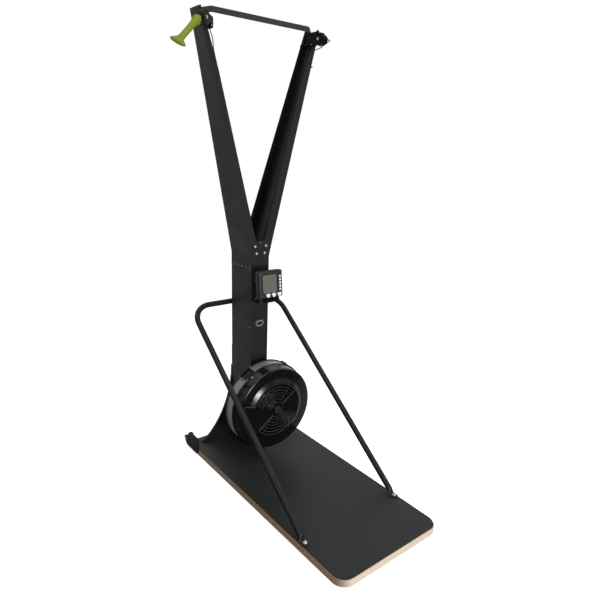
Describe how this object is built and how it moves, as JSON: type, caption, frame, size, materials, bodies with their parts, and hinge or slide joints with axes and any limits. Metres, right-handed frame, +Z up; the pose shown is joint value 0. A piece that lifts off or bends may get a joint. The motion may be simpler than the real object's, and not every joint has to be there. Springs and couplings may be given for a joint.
{
  "type": "ski machine",
  "caption": "Standing ski machine with a forked tower on a floor board, an air flywheel, swivelling pulleys, pull handles, a bent brace tube and a small monitor.",
  "frame": {"origin": "on the floor under the middle of the board", "axes": "+X to the right of a user who faces the tower, +Y from the user to the tower, +Z up"},
  "size_m": [0.824, 1.3225, 2.15],
  "materials": {
    "birch_ply": "birch plywood, clear lacquer",
    "mat_rubber": "black rubber mat, fine grain",
    "black_rubber": "black rubber",
    "black_powder": "black powder coat, fine texture",
    "black_plastic": "black moulded plastic",
    "gloss_plastic": "black gloss plastic",
    "perforated_steel": "perforated steel band",
    "rotor_metal": "dark coated aluminium",
    "bright_steel": "zinc-plated steel",
    "lime_grip": "yellow-green moulded grip",
    "black_cord": "black braided cord",
    "white_key": "white moulded key",
    "screen_glass": "grey-green display window"
  },
  "bodies": {
    "frame": {"floor_strip_front": "black_rubber", "floor_strip_middle": "black_rubber", "floor_strip_rear": "black_rubber", "base_board": "birch_ply", "base_mat": "mat_rubber", "foot_plate": "black_powder", "column": "black_powder", "back_panel": "black_powder", "wheel_bracket_left": "black_powder", "wheel_bolt_left": "bright_steel", "wheel_bracket_right": "black_powder", "wheel_bolt_right": "bright_steel", "arm_right": "black_powder", "arm_left": "black_powder", "front_plate": "black_powder", "crossbar": "black_powder", "brace_tube": "black_powder", "foot_bolt_left": "bright_steel", "foot_bolt_right": "bright_steel", "brace_collar": "black_powder", "fan_cover": "gloss_plastic", "fan_band": "perforated_steel", "fan_back_plate": "black_powder", "fan_grille": "gloss_plastic", "bearing_front": "bright_steel", "bearing_rear": "bright_steel", "swivel_bracket_right": "black_powder", "swivel_bracket_left": "black_powder", "handle_hook_right": "black_powder", "drive_cord_left": "black_cord", "drive_cord_right": "black_cord", "monitor_bracket": "black_plastic", "monitor_cradle": "black_plastic"},
    "transport_wheel_left": {"transport_wheel_left": "black_rubber"},
    "transport_wheel_right": {"transport_wheel_right": "black_rubber"},
    "rotor": {"flywheel": "rotor_metal", "flywheel_shaft": "bright_steel"},
    "drum_left": {"cord_drum_left": "rotor_metal"},
    "drum_right": {"cord_drum_right": "rotor_metal"},
    "damper": {"damper_lever": "black_plastic"},
    "yoke_left": {"pulley_yoke_left": "black_powder", "pulley_axle_left": "bright_steel", "pull_cord_left": "black_cord"},
    "yoke_right": {"pulley_yoke_right": "black_powder", "pulley_axle_right": "bright_steel", "pull_cord_right": "black_cord"},
    "pulley_left": {"pulley_wheel_left": "black_plastic"},
    "pulley_right": {"pulley_wheel_right": "black_plastic"},
    "handle_left": {"handle_left": "lime_grip"},
    "handle_right": {"handle_right": "lime_grip"},
    "monitor": {"monitor_housing": "black_plastic", "monitor_screen": "screen_glass"},
    "round_key_1": {"round_key_1": "white_key"},
    "round_key_2": {"round_key_2": "white_key"},
    "round_key_3": {"round_key_3": "white_key"},
    "round_key_4": {"round_key_4": "white_key"},
    "round_key_5": {"round_key_5": "white_key"},
    "wide_key_1": {"wide_key_1": "white_key"},
    "wide_key_2": {"wide_key_2": "white_key"},
    "wide_key_3": {"wide_key_3": "white_key"}
  },
  "joints": [
    {"name": "transport_wheel_left_spin", "type": "hinge", "parent": "frame", "child": "transport_wheel_left", "pos_m": [-0.29, 0.6625, 0.05], "axis": [1, 0, 0], "continuous": true},
    {"name": "transport_wheel_right_spin", "type": "hinge", "parent": "frame", "child": "transport_wheel_right", "pos_m": [0.29, 0.6625, 0.05], "axis": [1, 0, 0], "continuous": true},
    {"name": "rotor_spin", "type": "hinge", "parent": "frame", "child": "rotor", "pos_m": [0, 0.212, 0.338], "axis": [0, 1, 0], "continuous": true},
    {"name": "damper_turn", "type": "hinge", "parent": "frame", "child": "damper", "pos_m": [0, 0.209, 0.338], "axis": [0, 1, 0], "range_deg": [-60, 30]},
    {"name": "monitor_tilt", "type": "hinge", "parent": "frame", "child": "monitor", "pos_m": [0, 0.303, 0.91], "axis": [1, 0, 0], "range_deg": [-2, 15]},
    {"name": "round_key_1_press", "type": "slide", "parent": "monitor", "child": "round_key_1", "axis": [0, 0.9945, -0.1045], "range_m": [0, 0.0012], "stiffness_N_per_m": 400, "springref_m": -0.001},
    {"name": "round_key_2_press", "type": "slide", "parent": "monitor", "child": "round_key_2", "axis": [0, 0.9945, -0.1045], "range_m": [0, 0.0012], "stiffness_N_per_m": 400, "springref_m": -0.001},
    {"name": "round_key_3_press", "type": "slide", "parent": "monitor", "child": "round_key_3", "axis": [0, 0.9945, -0.1045], "range_m": [0, 0.0012], "stiffness_N_per_m": 400, "springref_m": -0.001},
    {"name": "round_key_4_press", "type": "slide", "parent": "monitor", "child": "round_key_4", "axis": [0, 0.9945, -0.1045], "range_m": [0, 0.0012], "stiffness_N_per_m": 400, "springref_m": -0.001},
    {"name": "round_key_5_press", "type": "slide", "parent": "monitor", "child": "round_key_5", "axis": [0, 0.9945, -0.1045], "range_m": [0, 0.0012], "stiffness_N_per_m": 400, "springref_m": -0.001},
    {"name": "wide_key_1_press", "type": "slide", "parent": "monitor", "child": "wide_key_1", "axis": [0, 0.9945, -0.1045], "range_m": [0, 0.0012], "stiffness_N_per_m": 400, "springref_m": -0.001},
    {"name": "wide_key_2_press", "type": "slide", "parent": "monitor", "child": "wide_key_2", "axis": [0, 0.9945, -0.1045], "range_m": [0, 0.0012], "stiffness_N_per_m": 400, "springref_m": -0.001},
    {"name": "wide_key_3_press", "type": "slide", "parent": "monitor", "child": "wide_key_3", "axis": [0, 0.9945, -0.1045], "range_m": [0, 0.0012], "stiffness_N_per_m": 400, "springref_m": -0.001},
    {"name": "swivel_left", "type": "hinge", "parent": "frame", "child": "yoke_left", "pos_m": [-0.26202, 0.388, 2.083], "axis": [0, 0, 1], "range_deg": [-3, 97]},
    {"name": "swivel_right", "type": "hinge", "parent": "frame", "child": "yoke_right", "pos_m": [0.26202, 0.388, 2.083], "axis": [0, 0, 1], "range_deg": [-50, 50]},
    {"name": "handle_left_pull", "type": "slide", "parent": "yoke_left", "child": "handle_left", "axis": [-0.7144, -0.2886, -0.6374], "range_m": [0, 1.4], "stiffness_N_per_m": 12, "springref_m": -1, "deforming": ["pull_cord_left"]},
    {"name": "handle_right_pull", "type": "slide", "parent": "frame", "child": "handle_right", "axis": [0, -1, 0], "range_m": [0, 1.4], "stiffness_N_per_m": 12, "springref_m": -1, "deforming": ["pull_cord_right"]},
    {"name": "pulley_left_turn", "type": "hinge", "parent": "yoke_left", "child": "pulley_left", "pos_m": [-0.3198, 0.33412, 2.091], "axis": [0.682, -0.7314, 0], "range_deg": [0, 3700]},
    {"name": "pulley_right_turn", "type": "hinge", "parent": "yoke_right", "child": "pulley_right", "pos_m": [0.26202, 0.309, 2.091], "axis": [1, 0, 0], "range_deg": [0, 3700]},
    {"name": "drum_left_turn", "type": "hinge", "parent": "frame", "child": "drum_left", "pos_m": [0, 0.443, 0.338], "axis": [0, 1, 0], "range_deg": [0, 3200]},
    {"name": "drum_right_turn", "type": "hinge", "parent": "frame", "child": "drum_right", "pos_m": [0, 0.4653, 0.338], "axis": [0, 1, 0], "range_deg": [0, 3200]}
  ],
  "couplings": [
    {"joint": "pulley_left_turn", "follows": "handle_left_pull", "rad_per_m": 45.455},
    {"joint": "drum_left_turn", "follows": "handle_left_pull", "rad_per_m": 38.462},
    {"joint": "pulley_right_turn", "follows": "handle_right_pull", "rad_per_m": 45.455},
    {"joint": "drum_right_turn", "follows": "handle_right_pull", "rad_per_m": 38.462}
  ]
}
